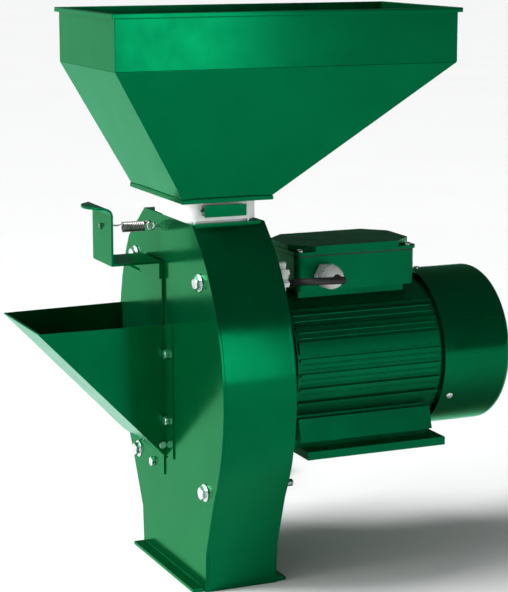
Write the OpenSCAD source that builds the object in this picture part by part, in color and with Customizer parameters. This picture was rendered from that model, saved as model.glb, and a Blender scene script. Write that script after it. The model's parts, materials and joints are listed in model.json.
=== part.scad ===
// Hammer mill: sheet-steel casing with swinging hammers, feed hopper, side chute and flange motor.
// +X runs along the shaft towards the motor, +Y across the casing, +Z up.
// The origin is on the casing's mid plane, under the shaft, at the underside of the base flanges.

/* [Casing] */
// Outside depth of the casing along the shaft
casing_d = 82; // [70:1:100]
// Thickness of the front cover
cover_t = 3; // [2:0.5:4]
// Thickness of the rear plate
rear_t = 4; // [3:0.5:6]
// Thickness of the band that wraps the casing
band_t = 3; // [2:0.5:4]
// Height of the casing's top
casing_top = 388; // [380:1:400]
// Height of the shaft's axis
axis_z = 221; // [215:1:227]
// Radius of the casing's bulging sides
side_r = 227; // [220:1:235]

/* [Hopper] */
// Length of the hopper's mouth along the shaft
mouth_l = 388; // [340:1:420]
// Width of the hopper's mouth across the shaft
mouth_w = 178; // [160:1:200]
// Height of the hopper's upright band
mouth_band_h = 58; // [40:1:80]
// Height of the hopper's rim
hopper_top = 607; // [590:1:620]
// Thickness of the hopper's sheet
hopper_t = 1.5; // [1:0.1:2.5]

/* [Chute and flap] */
// How far the side chute stands out from the cover
chute_l = 142; // [120:1:160]
// Height of the chute's top edge
chute_top = 268; // [260:1:275]
// Thickness of the chute's sheet
chute_t = 1.5; // [1:0.1:2]
// Thickness of the feed flap
flap_t = 2.5; // [2:0.1:3]
// Radius of the flap's hinge pin
flap_pin_r = 2.5; // [2:0.1:2.6]

/* [Mill rotor] */
// Radius of the circle that the hammer pins stand on
pin_circle_r = 52; // [50:0.5:54]
// Reach of a hammer from its pin to its tip
hammer_l = 58; // [50:0.5:59]
// Width of a hammer
hammer_w = 20; // [16:0.5:20]
// Thickness of a hammer
hammer_t = 4; // [3:0.5:5]
// Radius of a hammer pin
hammer_pin_r = 4; // [3:0.1:5]
// Radius of the sieve's inner face
sieve_r = 118; // [116:0.5:122]

/* [Motor] */
// Radius of the fan cover
fan_cover_r = 89; // [87:0.5:92]
// Radius of the motor's plain barrel between its fins
barrel_r = 83; // [77:0.5:84]
// Radius of the shaft in the mill
shaft_r = 12; // [10:0.5:13]

/* [Lead] */
// Diameter of the power lead
lead_d = 8; // [7:0.5:9]

/* [Hidden] */
$fn = 48;

mill_green = [0.01, 0.40, 0.20];
zinc = [0.75, 0.76, 0.78];
steel = [0.45, 0.46, 0.48];
white_plastic = [0.92, 0.92, 0.90];
black_rubber = [0.04, 0.04, 0.04];

front_x = -casing_d / 2;
rear_x = casing_d / 2;
band_x0 = front_x + cover_t;
band_x1 = rear_x - rear_t;

// Casing outline: each side bulges on one long arc, then folds in to an upright foot.
side_off = 71.5;
side_fold_z = 102;
foot_top_z = 43;
near_arc_z = 212;
far_arc_z = 230;
near_foot_y = 104;
far_foot_y = 82;
corner_y = 70;
corner_low_z = 350;

// Bulge of a side at height z, for an arc centred at height arc_z and pulled in by inset
function bulge(z, arc_z, inset) = sqrt(pow(side_r - inset, 2) - pow(z - arc_z, 2)) - side_off;
// Heights from low to high in n steps
function steps(low, high, n) = [for (i = [0:n]) low + (high - low) * i / n];

near_top_y = bulge(casing_top, near_arc_z, 0);
near_side_n = 14;
function near_side(inset) = [
    for (z = steps(side_fold_z, casing_top, near_side_n)) [-bulge(z, near_arc_z, inset), z]
];
// The far top corner is one flat fold, so its inner face stands further in at the top
fold_inset = 1.7;
function far_side(inset) = [
    for (z = steps(corner_low_z, side_fold_z, near_side_n)) [bulge(z, far_arc_z, inset), z]
];
function casing_outline(inset) = concat(
    [[-near_foot_y + inset, 0], [-near_foot_y - 2.5 + inset, foot_top_z]],
    near_side(inset),
    [[corner_y - inset * fold_inset, casing_top]],
    far_side(inset),
    [[far_foot_y + 3 - inset, foot_top_z], [far_foot_y - inset, 0]]
);

// Extrudes a flat (Y, Z) outline from x0 to x1
module along_x(x0, x1) {
    translate([x0, 0, 0]) rotate([90, 0, 90]) linear_extrude(x1 - x0) children();
}
// A cylinder along X, from x0 to x1, at (y, z)
module rod_x(x0, x1, y, z, r) {
    translate([x0, y, z]) rotate([0, 90, 0]) cylinder(h = x1 - x0, r = r);
}
// A cylinder along Y, from y0 to y1, at (x, z)
module rod_y(y0, y1, x, z, r) {
    translate([x, y0, z]) rotate([-90, 0, 0]) cylinder(h = y1 - y0, r = r);
}
// A cylinder along Z, from z0 to z1, at (x, y)
module rod_z(z0, z1, x, y, r) {
    translate([x, y, z0]) cylinder(h = z1 - z0, r = r);
}
// A box from its lowest to its highest corner
module block(lo, hi) {
    translate(lo) cube(hi - lo);
}
// A hexagon prism along X with its corners at radius r
module hex_x(x0, x1, y, z, r) {
    translate([x0, y, z]) rotate([0, 90, 0]) cylinder(h = x1 - x0, r = r, $fn = 6);
}

// ---- casing ----
cover_bolt_r = 4;
cover_bolt_clear = 0.3;
// Where the four through bolts stand, as [y, z]
cover_bolts_at = [[-93, 331], [98, 332], [-106, 110], [94, 108]];
star_bolt = cover_bolts_at[0];
bolt_head_t = 5;
bolt_head_r = 7.5;
washer_r = 9.5;
washer_t = 1.6;
nut_t = 6.5;
star_nut_r = 16;
star_nut_t = 10;
star_lobes = 7;
star_hub_r = 8;
star_lobe_w = 5;

// The side inlet's corners stay inside the sieve's radius, so that no feed gets past the sieve
inlet_y = [24, 106];
inlet_z = [172, 284];
throat_x = [-30, 26];
throat_y = [-58, 16];

module casing_band() color(mill_green) {
    difference() {
        along_x(band_x0, band_x1) polygon(casing_outline(0));
        along_x(band_x0 - 1, band_x1 + 1) polygon(casing_outline(band_t));
        block([band_x0 - 1, -near_foot_y + band_t, -1], [band_x1 + 1, far_foot_y - band_t, 10]);
        block([band_x0 - 1, -near_top_y - 3, casing_top - band_t],
              [band_x1 + 1, corner_y, casing_top + 1]);
    }
}
module top_plate() color(mill_green) difference() {
    block([band_x0, -near_top_y, casing_top - band_t], [band_x1, corner_y, casing_top]);
    block([throat_x[0], throat_y[0], casing_top - 10], [throat_x[1], throat_y[1], casing_top + 1]);
    gate_bolt_holes(casing_top - 10, casing_top + 1);
}
module cover_bolt_holes(x0, x1) {
    for (p = cover_bolts_at) rod_x(x0, x1, p[0], p[1], cover_bolt_r + cover_bolt_clear);
}
module front_cover() color(mill_green) difference() {
    along_x(front_x, band_x0) polygon(casing_outline(0));
    block([front_x - 1, inlet_y[0], inlet_z[0]], [band_x0 + 1, inlet_y[1], inlet_z[1]]);
    cover_bolt_holes(front_x - 1, band_x0 + 1);
    chute_bolt_holes(front_x - 1, band_x0 + 1);
    rod_x(front_x - 1, band_x0 + 1, spring_eye_y, spring_z, 2.2);
}
shaft_hole_r = 22;
flange_bolt_r = 4;
flange_bolt_circle = 82;
flange_angles = [45, 135, 225, 315];
flange_r = 98;
module flange_bolt_holes(x0, x1) {
    for (a = flange_angles)
        rod_x(x0, x1, flange_bolt_circle * cos(a), axis_z + flange_bolt_circle * sin(a),
              flange_bolt_r + cover_bolt_clear);
}
module rear_plate() color(mill_green) difference() {
    along_x(band_x1, rear_x) polygon(casing_outline(0));
    rod_x(band_x1 - 1, rear_x + 1, 0, axis_z, shaft_hole_r);
    cover_bolt_holes(band_x1 - 1, rear_x + 1);
    flange_bolt_holes(band_x1 - 1, rear_x + 1);
}
base_flange_w = 13;
base_flange_t = 4;
base_flange_y = [-near_foot_y + 3, far_foot_y - 2];
module base_flanges() color(mill_green) {
    for (side = [-1, 1]) {
        x_in = side * rear_x;
        x_out = side * (rear_x + base_flange_w);
        block([min(x_in, x_out), base_flange_y[0], 0],
              [max(x_in, x_out), base_flange_y[1], base_flange_t]);
    }
}
module cover_bolts() color(zinc) {
    for (p = cover_bolts_at) {
        hex_x(front_x - washer_t - bolt_head_t, front_x - washer_t, p[0], p[1], bolt_head_r);
        rod_x(front_x - washer_t, rear_x + 18, p[0], p[1], cover_bolt_r);
    }
}
module cover_washers() color(zinc) {
    for (p = cover_bolts_at) difference() {
        rod_x(front_x - washer_t, front_x, p[0], p[1], washer_r);
        rod_x(front_x - washer_t - 1, front_x + 1, p[0], p[1], cover_bolt_r);
    }
}
module cover_nuts() color(zinc) {
    for (i = [1:3]) difference() {
        union() {
            rod_x(rear_x, rear_x + washer_t, cover_bolts_at[i][0], cover_bolts_at[i][1], washer_r);
            hex_x(rear_x + washer_t, rear_x + washer_t + nut_t,
                  cover_bolts_at[i][0], cover_bolts_at[i][1], bolt_head_r);
        }
        rod_x(rear_x - 1, rear_x + 20, cover_bolts_at[i][0], cover_bolts_at[i][1], cover_bolt_r);
    }
}
star_x0 = rear_x + 4;
module star_nut() color(white_plastic) difference() {
    union() {
        rod_x(star_x0 - 3, star_x0 + star_nut_t, star_bolt[0], star_bolt[1], star_hub_r);
        for (i = [0:star_lobes - 1])
            translate([star_x0, star_bolt[0], star_bolt[1]])
                rotate([i * 360 / star_lobes, 0, 0])
                    block([0, star_hub_r - 2, -star_lobe_w / 2],
                          [star_nut_t - 1, star_nut_r, star_lobe_w / 2]);
    }
    rod_x(star_x0 - 9, star_x0 + star_nut_t + 9, star_bolt[0], star_bolt[1], cover_bolt_r + 0.06);
}

// ---- sieve ----
sieve_t = 1.5;
sieve_hole_r = 3;
sieve_half_angle = 70;
sieve_clear_x = 0.5;
// Flat facets of the sieve, 4 degrees each, so that each hole lies inside one
sieve_facets = 35;
// A sector of an annulus in the (Y, Z) plane, centred on straight down
function sector(r0, r1, half, n) = concat(
    [for (i = [0:n]) let (a = -90 - half + 2 * half * i / n) [r1 * cos(a), axis_z + r1 * sin(a)]],
    [for (i = [n:-1:0]) let (a = -90 - half + 2 * half * i / n) [r0 * cos(a), axis_z + r0 * sin(a)]]
);
module sieve() color(steel) difference() {
    along_x(band_x0 + sieve_clear_x, band_x1 - sieve_clear_x)
        polygon(sector(sieve_r, sieve_r + sieve_t, sieve_half_angle, sieve_facets));
    for (row = [-5:5], x = [-24:12:24])
        translate([x, 0, axis_z]) rotate([row * 12, 0, 0])
            translate([0, 0, -sieve_r - 4]) cylinder(h = 8, r = sieve_hole_r, $fn = 16);
}
module sieve_rails() color(mill_green) {
    for (x = [band_x0, band_x1 - 5])
        along_x(x, x + 5)
            polygon(sector(sieve_r + sieve_t, sieve_r + sieve_t + 5, sieve_half_angle, sieve_facets));
}

// ---- chute, flap and lever ----
chute_tip_x = front_x - chute_l;
chute_near_y = [6, 10.5];
chute_far_y = [150, 141];
chute_low_z = 119;
chute_flange_w = 22;
chute_flange_t = 1.5;
chute_bottom_z = 105;
chute_bolt_r = 3;
chute_flange_near = [chute_near_y[0] - chute_flange_w, chute_near_y[0] + 1];
// Where the chute's bolts stand on the cover, as [y, z]
chute_bolts_at = [[0, 237], [0, 163], [44, 106]];
// The bottom flange ends clear of the washer of the casing's low far bolt
chute_bottom_y1 = 82;
flap_hinge_x = front_x - 5.5;
flap_hinge_z = 135;

module chute_bolt_holes(x0, x1) {
    for (p = chute_bolts_at) rod_x(x0, x1, p[0], p[1], chute_bolt_r + 0.2);
}
// The chute's plan at inset d from its outer faces, as a wedge under the slanted bottom
module chute_wedge(d, over) {
    near_0 = chute_near_y[0] + d;
    near_1 = chute_near_y[1] + d;
    far_0 = chute_far_y[0] - d;
    far_1 = chute_far_y[1] - d;
    low = chute_low_z + d * 1.4;
    hull() {
        translate([front_x - 0.01, near_0, low])
            cube([0.01, far_0 - near_0, chute_top + over - low]);
        translate([chute_tip_x + d * 1.4, near_1, chute_top - 1 + d])
            cube([0.01, far_1 - near_1, 1 + over - d]);
    }
}
module chute() color(mill_green) difference() {
    union() {
        difference() {
            chute_wedge(0, 0);
            translate([0.1, 0, 0]) chute_wedge(chute_t, 5);
        }
        // near flange, bolted to the cover
        block([front_x - chute_flange_t, chute_flange_near[0], chute_low_z + 4],
              [front_x, chute_flange_near[1], chute_top + 2]);
        // bottom flange, turned down on the cover
        block([front_x - chute_flange_t, chute_near_y[0] + 6, chute_bottom_z - 6],
              [front_x, chute_bottom_y1, chute_low_z + 2]);
    }
    chute_bolt_holes(front_x - 5, front_x + 1);
    rod_y(chute_near_y[0] - 5, chute_far_y[0] + 5, flap_hinge_x, flap_hinge_z, flap_pin_r);
}
module chute_bolts() color(zinc) {
    for (p = chute_bolts_at) {
        hex_x(front_x - chute_flange_t - 4, front_x - chute_flange_t, p[0], p[1], 5.5);
        rod_x(front_x - chute_flange_t, band_x0, p[0], p[1], chute_bolt_r);
    }
}
pin_head_t = 2;
module flap_pin() color(zinc) {
    rod_y(chute_near_y[0] - pin_head_t, chute_far_y[0] + 4, flap_hinge_x, flap_hinge_z, flap_pin_r);
    rod_y(chute_near_y[0] - pin_head_t - 1, chute_near_y[0] - 0.3, flap_hinge_x, flap_hinge_z,
          flap_pin_r + 1.5);
}
flap_x0 = front_x - 0.4 - flap_t;
flap_y = [11, 137];
flap_top = 316;
flap_neck_top = 336;
lever_y = [11, 72];
knuckle_r = 4.6;
knuckle_fit = 0.06;
module feed_flap() color(mill_green) difference() {
    union() {
        along_x(flap_x0, flap_x0 + flap_t) polygon([
            [flap_y[0], flap_hinge_z], [flap_y[1], flap_hinge_z],
            [flap_y[1], flap_top - 14], [flap_y[1] - 14, flap_top],
            [lever_y[1], flap_top], [lever_y[1], flap_neck_top], [flap_y[0], flap_neck_top]
        ]);
        for (y = [flap_y[0], 60, flap_y[1] - 26])
            rod_y(y, y + 26, flap_hinge_x, flap_hinge_z, knuckle_r);
    }
    rod_y(flap_y[0] - 1, flap_y[1] + 1, flap_hinge_x, flap_hinge_z, flap_pin_r + knuckle_fit);
}
lever_t = 2.5;
lever_x = -98;
lever_top = 398;
lever_bend_r = 9;
lever_foot_z = 318;
lever_shelf_z = 335;
tongue_l = 24;
spring_z = 374;
spring_eye_y = 28;
spring_lever_y = 42;
// The strap's side view: foot on the flap, shelf outwards, leg up, and a bend that turns outwards
module lever_profile() {
    polygon(concat(
        [[flap_x0, lever_foot_z], [flap_x0, lever_shelf_z + lever_t]],
        [[lever_x, lever_shelf_z + lever_t]],
        [for (a = [0:15:90]) [lever_x - lever_bend_r + lever_bend_r * cos(a),
                              lever_top - lever_bend_r + lever_bend_r * sin(a)]],
        [[lever_x - tongue_l, lever_top], [lever_x - tongue_l, lever_top - lever_t]],
        [for (a = [90:-15:0])
            [lever_x - lever_bend_r + (lever_bend_r - lever_t) * cos(a),
             lever_top - lever_bend_r + (lever_bend_r - lever_t) * sin(a)]],
        [[lever_x - lever_t, lever_shelf_z], [flap_x0 - lever_t, lever_shelf_z],
         [flap_x0 - lever_t, lever_foot_z]]
    ));
}
lever_mid_y = (lever_y[0] + lever_y[1]) / 2;
module flap_lever() color(mill_green) difference() {
    translate([0, lever_y[1], 0]) rotate([90, 0, 0])
        linear_extrude(lever_y[1] - lever_y[0]) lever_profile();
    rod_x(lever_x - 9, lever_x + 5, spring_lever_y, spring_z, 3);
    // the tongue's end is round
    difference() {
        block([lever_x - tongue_l - 1, lever_y[0] - 1, lever_top - lever_t - 1],
              [lever_x - 8, lever_y[1] + 1, lever_top + 1]);
        rod_z(lever_top - 9, lever_top + 9, lever_x + 8, lever_mid_y, 32);
    }
}
eye_x = front_x - 8;
module spring_eye() color(zinc) {
    rod_x(eye_x + 3.5, band_x0 + 4, spring_eye_y, spring_z, 2);
    translate([eye_x, spring_eye_y, spring_z]) rotate([90, 0, 0])
        rotate_extrude() translate([4, 0]) circle(1.4, $fn = 16);
}
spring_r = 6;
spring_x = [-79, -54];
module lever_spring() color(steel) {
    mid_y = 36;
    difference() {
        rod_x(spring_x[0], spring_x[1], mid_y, spring_z - 1, spring_r);
        rod_x(spring_x[0] - 1, spring_x[1] + 1, mid_y, spring_z - 1, spring_r - 1.6);
    }
}

// ---- gate and slide ----
gate_x = [-47, 34];
gate_y = [-72, 31];
gate_z = [391.5, 411];
gate_corner_r = 13;
slide_z = 401;
slide_t = 2;
slide_w = [-31, 16];
slot_fit = 0.35;
// The gate's bolts stand between the cover's inner face and the slide's slot
gate_bolts_at = [[-33.9, -63], [26, -63], [-33.9, 22], [26, 22]];
gate_bolt_r = 2;
gate_head_r = 4;
module gate_bolt_holes(z0, z1) {
    for (p = gate_bolts_at) rod_z(z0, z1, p[0], p[1], gate_bolt_r + 0.15);
}
module gate_slab(z0, z1, grow) {
    r = gate_corner_r;
    union() {
        block([gate_x[0] - grow + r, gate_y[0] - grow, z0], [gate_x[1] + grow - r, gate_y[1] + grow, z1]);
        block([gate_x[0] - grow, gate_y[0] - grow + r, z0], [gate_x[1] + grow, gate_y[1] + grow - r, z1]);
        for (x = [gate_x[0] - grow + r, gate_x[1] + grow - r],
             y = [gate_y[0] - grow + r, gate_y[1] + grow - r])
            rod_z(z0, z1, x, y, r);
    }
}
module gate_frame() color(white_plastic) difference() {
    union() {
        gate_slab(gate_z[0], gate_z[1], 0);
        gate_slab(casing_top, gate_z[0] + 0.5, -6);
    }
    block([throat_x[0] + 3, throat_y[0] + 3, casing_top - 1],
          [throat_x[1] - 12, throat_y[1] - 3, gate_z[1] + 1]);
    // the slot that the slide runs in, open towards -Y
    block([slide_w[0] - slot_fit, gate_y[0] - 1, slide_z - slot_fit],
          [slide_w[1] + slot_fit, throat_y[1] + 8, slide_z + slide_t + slot_fit]);
    block([slide_w[0] + 1, gate_y[0] - 1, 397], [slide_w[1] - 1, gate_y[0] + 4, 408]);
    gate_bolt_holes(casing_top - 1, gate_z[1] + 1);
}
slide_lip_y = gate_y[0] - 9;
module slide_plate() color(mill_green) {
    block([slide_w[0], slide_lip_y, slide_z], [slide_w[1], throat_y[1] + 7, slide_z + slide_t]);
    block([slide_w[0], slide_lip_y - 2, slide_z - 4.5], [slide_w[1], slide_lip_y, slide_z + 8]);
}
hopper_flange_t = 4;
module gate_bolts() color(zinc) {
    for (p = gate_bolts_at) {
        rod_z(casing_top - band_t - 5, gate_z[1] + hopper_flange_t, p[0], p[1], gate_bolt_r);
        translate([p[0], p[1], gate_z[1] + hopper_flange_t]) cylinder(h = 3, r = gate_head_r, $fn = 6);
        translate([p[0], p[1], casing_top - band_t - 3.5]) cylinder(h = 3.5, r = gate_head_r, $fn = 6);
    }
}

// ---- hopper ----
cone_bottom_x = [-53, 47];
cone_bottom_y = [-78, 78];
cone_bottom_z = gate_z[1] + hopper_flange_t;
mouth_x = [-129, -129 + mouth_l];
mouth_y = [-mouth_w / 2, mouth_w / 2];
cone_top_z = hopper_top - mouth_band_h;
rim_w = 4;
rim_t = 5;
// A frustum between a low and a high rectangle, both pulled in by d and stretched over their planes
module frustum(d, over) {
    slope = over / (cone_top_z - cone_bottom_z);
    low_x = cone_bottom_x - slope * (mouth_x - cone_bottom_x);
    low_y = cone_bottom_y - slope * (mouth_y - cone_bottom_y);
    high_x = mouth_x + slope * (mouth_x - cone_bottom_x);
    high_y = mouth_y + slope * (mouth_y - cone_bottom_y);
    z0 = cone_bottom_z - over;
    z1 = cone_top_z + over;
    polyhedron(
        points = [
            [low_x[0] + d, low_y[0] + d, z0], [low_x[1] - d, low_y[0] + d, z0],
            [low_x[1] - d, low_y[1] - d, z0], [low_x[0] + d, low_y[1] - d, z0],
            [high_x[0] + d, high_y[0] + d, z1], [high_x[1] - d, high_y[0] + d, z1],
            [high_x[1] - d, high_y[1] - d, z1], [high_x[0] + d, high_y[1] - d, z1]
        ],
        faces = [[0, 1, 2, 3], [4, 5, 1, 0], [5, 6, 2, 1], [6, 7, 3, 2], [7, 4, 0, 3], [7, 6, 5, 4]]
    );
}
module hopper_cone() color(mill_green) difference() {
    frustum(0, 0);
    frustum(hopper_t * 1.3, 4);
}
module hopper_band() color(mill_green) difference() {
    union() {
        block([mouth_x[0], mouth_y[0], cone_top_z], [mouth_x[1], mouth_y[1], hopper_top]);
        block([mouth_x[0] - rim_w, mouth_y[0] - rim_w, hopper_top - rim_t],
              [mouth_x[1] + rim_w, mouth_y[1] + rim_w, hopper_top]);
    }
    block([mouth_x[0] + hopper_t, mouth_y[0] + hopper_t, cone_top_z - 1],
          [mouth_x[1] - hopper_t, mouth_y[1] - hopper_t, hopper_top + 1]);
}
module hopper_flange() color(mill_green) difference() {
    block([cone_bottom_x[0] - 1, cone_bottom_y[0] - 1, gate_z[1]],
          [cone_bottom_x[1] + 1, cone_bottom_y[1] + 1, cone_bottom_z]);
    block([throat_x[0], throat_y[0], gate_z[1] - 1], [throat_x[1] - 9, throat_y[1], cone_bottom_z + 1]);
    gate_bolt_holes(gate_z[1] - 1, cone_bottom_z + 1);
}

// ---- motor ----
frame_x = [76, 250];
stator_r = 70;
fin_t = 3;
fin_tip_r = 86;
fin_pitch = 16.5;
flange_x = [rear_x, rear_x + 12];
foot_z = [125, 135];
foot_x = [87, 255];
foot_half_w = 85;
pad_x = [96, 224];
pad_z = 304;

module motor_frame() color(mill_green) difference() {
    union() {
        rod_x(frame_x[0], frame_x[1], 0, axis_z, barrel_r);
        intersection() {
            rod_x(frame_x[0] + 2, frame_x[1] - 2, 0, axis_z, fin_tip_r);
            union() {
                for (i = [-2:4])
                    block([frame_x[0], -100, axis_z - 2 + i * fin_pitch - fin_t / 2],
                          [frame_x[1], 100, axis_z - 2 + i * fin_pitch + fin_t / 2]);
                for (side = [-1, 1])
                    block([frame_x[0], min(side * 70, side * 90), 242],
                          [frame_x[1], max(side * 70, side * 90), 255]);
                for (i = [-3:3])
                    block([frame_x[0], i * 12 - fin_t / 2, axis_z - 90],
                          [frame_x[1], i * 12 + fin_t / 2, axis_z - 60]);
            }
        }
        // pad under the terminal box
        block([pad_x[0], -38, 280], [pad_x[1], 28, pad_z]);
        // bosses that carry the foot's arms
        for (side = [-1, 1])
            along_x(frame_x[0] + 4, 236)
                polygon([[side * 52, 176], [side * 66, 172],
                         [side * 70, foot_neck_z], [side * 48, foot_neck_z]]);
    }
    rod_x(frame_x[0] - 1, frame_x[1] + 1, 0, axis_z, stator_r);
    block([pad_x[0] + 34, -20, 270], [pad_x[1] - 34, 10, pad_z + 1]);
}
foot_neck_z = 147;
foot_hole_y = 74;
foot_hole_r = 5;
foot_slot_x = [110, 232];
module motor_foot() color(mill_green) difference() {
    union() {
        block([foot_x[0], -foot_half_w, foot_z[0]], [foot_x[1], foot_half_w, foot_z[1] - 1]);
        for (side = [-1, 1])
            along_x(80, 240) polygon([
                [side * 50, foot_z[1] - 1.5], [side * 64, foot_z[1] - 1.5],
                [side * 64, foot_neck_z - 2.5], [side * 82, foot_neck_z - 2.5],
                [side * 75, 169], [side * 70.3, 169],
                [side * 70.3, foot_neck_z - 0.3], [side * 50, foot_neck_z - 0.3]
            ]);
    }
    for (side = [-1, 1], x = foot_slot_x)
        rod_z(foot_z[0] - 1, foot_z[1] + 1, x, side * foot_hole_y, foot_hole_r);
    // a hollow that clears the fan cover's edge
    rod_x(cover_x[0] - 1, foot_x[1] + 1, 0, axis_z, fan_cover_r + 0.7);
}
bearing_r = 20;
bearing_t = 14;
front_bearing_x = [56, 56 + bearing_t];
rear_bearing_x = [250, 250 + bearing_t - 2];
module front_shield() color(mill_green) difference() {
    union() {
        rod_x(flange_x[0], flange_x[1], 0, axis_z, flange_r);
        rod_x(flange_x[1], frame_x[0], 0, axis_z, 74);
        rod_x(frame_x[0], frame_x[0] + 5, 0, axis_z, stator_r - 0.1);
    }
    rod_x(flange_x[0] - 1, front_bearing_x[0], 0, axis_z, shaft_r + 3);
    rod_x(front_bearing_x[0], frame_x[0] + 6, 0, axis_z, bearing_r);
    rod_x(front_bearing_x[1], frame_x[0] + 6, 0, axis_z, 54);
    flange_bolt_holes(flange_x[0] - 1, flange_x[1] + 1);
}
module flange_bolts() color(zinc) {
    for (a = flange_angles) {
        y = flange_bolt_circle * cos(a);
        z = axis_z + flange_bolt_circle * sin(a);
        rod_x(band_x1 - 5, flange_x[1], y, z, flange_bolt_r);
        hex_x(flange_x[1], flange_x[1] + 5.5, y, z, bolt_head_r);
        hex_x(band_x1 - 5.5, band_x1, y, z, bolt_head_r);
    }
}
rear_hub_x = [250, 262];
module rear_shield() color(mill_green) difference() {
    union() {
        rod_x(frame_x[1], rear_hub_x[1], 0, axis_z, 80);
        rod_x(frame_x[1] - 5, frame_x[1], 0, axis_z, stator_r - 0.1);
        for (a = fan_screw_angles)
            translate([frame_x[1] + 2, 0, axis_z]) rotate([a, 0, 0])
                block([0, 70, -7], [fan_screw_x - frame_x[1] + 2, fan_cover_r - 2.2, 7]);
    }
    rod_x(frame_x[1] - 6, rear_hub_x[1] + 1, 0, axis_z, bearing_r);
    rod_x(frame_x[1] - 6, frame_x[1] - 1, 0, axis_z, 54);
    fan_screw_holes(4);
}
stator_x = [112, 214];
core_fit = 0.05;
module stator_core() color(steel) difference() {
    rod_x(stator_x[0], stator_x[1], 0, axis_z, stator_r - core_fit);
    rod_x(stator_x[0] - 1, stator_x[1] + 1, 0, axis_z, 40.6);
}
module stator_windings() color([0.72, 0.36, 0.14]) {
    for (x = [stator_x[0] - 20, stator_x[1]]) difference() {
        rod_x(x, x + 20, 0, axis_z, 58);
        rod_x(x - 1, x + 21, 0, axis_z, 43);
    }
}
module rotor_core() color(steel) difference() {
    rod_x(stator_x[0], stator_x[1], 0, axis_z, 40);
    rod_x(stator_x[0] - 1, stator_x[1] + 1, 0, axis_z, shaft_r + 4);
}
shaft_end_x = [-28, 312];
key_w = 6;
key_x = [-18, 20];
module motor_shaft() color(steel) difference() {
    union() {
        rod_x(shaft_end_x[0], shaft_end_x[1], 0, axis_z, shaft_r - 3);
        rod_x(shaft_end_x[0], 262, 0, axis_z, shaft_r - 0.5);
        rod_x(front_bearing_x[1] + 0.2, rear_bearing_x[0] - 0.2, 0, axis_z, shaft_r + 4);
    }
    block([key_x[0], -key_w / 2, axis_z + shaft_r - 4], [key_x[1], key_w / 2, axis_z + shaft_r + 1]);
    rod_x(shaft_end_x[0] - 1, shaft_end_x[0] + 22, 0, axis_z, 4);
}
module shaft_key() color(steel)
    block([key_x[0], -key_w / 2, axis_z + shaft_r - 4], [key_x[1], key_w / 2, axis_z + shaft_r + 2.4]);
// A deep-groove bearing stands for its rings and balls together, with a running fit on the shaft
module bearing(x) difference() {
    rod_x(x[0], x[1], 0, axis_z, bearing_r);
    rod_x(x[0] - 1, x[1] + 1, 0, axis_z, shaft_r - 0.5 + 0.05);
}
module front_bearing() color(zinc) bearing(front_bearing_x);
module rear_bearing() color(zinc) bearing(rear_bearing_x);
fan_x = [276, 300];
fan_blades = 8;
module cooling_fan() color(black_rubber) difference() {
    union() {
        rod_x(fan_x[0], fan_x[1], 0, axis_z, 20);
        rod_x(fan_x[0], fan_x[0] + 2.5, 0, axis_z, 72);
        for (i = [0:fan_blades - 1])
            translate([fan_x[0], 0, axis_z]) rotate([i * 360 / fan_blades, 0, 0])
                block([0, 16, -1.2], [fan_x[1] - fan_x[0], 72, 1.2]);
    }
    rod_x(fan_x[0] - 1, fan_x[1] + 1, 0, axis_z, shaft_r - 3);
}
cover_x = [252, 338];
cover_wall = 1.5;
cover_edge_r = 12;
grille_r = [30, 44, 58];
grille_n = [8, 14, 20];
// Rounded outline of the fan cover, as [radius, x], at inset d
function cover_profile(d) = concat(
    [[0, cover_x[0] - (d > 0 ? 1 : 0)], [fan_cover_r - d, cover_x[0] - (d > 0 ? 1 : 0)]],
    [for (a = [0:15:90]) [fan_cover_r - cover_edge_r + (cover_edge_r - d) * cos(a),
                          cover_x[1] - cover_edge_r + (cover_edge_r - d) * sin(a)]],
    [[0, cover_x[1] - d]]
);
module turned_x(points) {
    translate([0, 0, axis_z]) rotate([0, 90, 0]) rotate_extrude($fn = 96) polygon(points);
}
fan_screw_angles = [88, 208, 328];
fan_screw_x = 263;
module fan_screw_holes(r) {
    for (a = fan_screw_angles)
        translate([fan_screw_x, 0, axis_z]) rotate([a, 0, 0])
            translate([0, fan_cover_r - 14, 0]) rotate([-90, 0, 0]) cylinder(h = 20, r = r * 0.5);
}
module fan_cover() color(mill_green) difference() {
    turned_x(cover_profile(0));
    turned_x(cover_profile(cover_wall));
    rod_x(cover_x[1] - 5, cover_x[1] + 5, 0, axis_z, 8);
    for (k = [0:2], i = [0:grille_n[k] - 1])
        translate([cover_x[1] - 5, 0, axis_z]) rotate([i * 360 / grille_n[k], 0, 0])
            translate([0, grille_r[k], 0]) rotate([0, 90, 0]) cylinder(h = 10, r = 4.5, $fn = 16);
    fan_screw_holes(4.4);
}
module fan_cover_screws() color(zinc) {
    for (a = fan_screw_angles)
        translate([fan_screw_x, 0, axis_z]) rotate([a, 0, 0]) {
            translate([0, fan_cover_r - 12, 0]) rotate([-90, 0, 0]) cylinder(h = 12, r = 2);
            translate([0, fan_cover_r, 0]) rotate([-90, 0, 0]) cylinder(h = 2, r = 4);
        }
}

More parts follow.
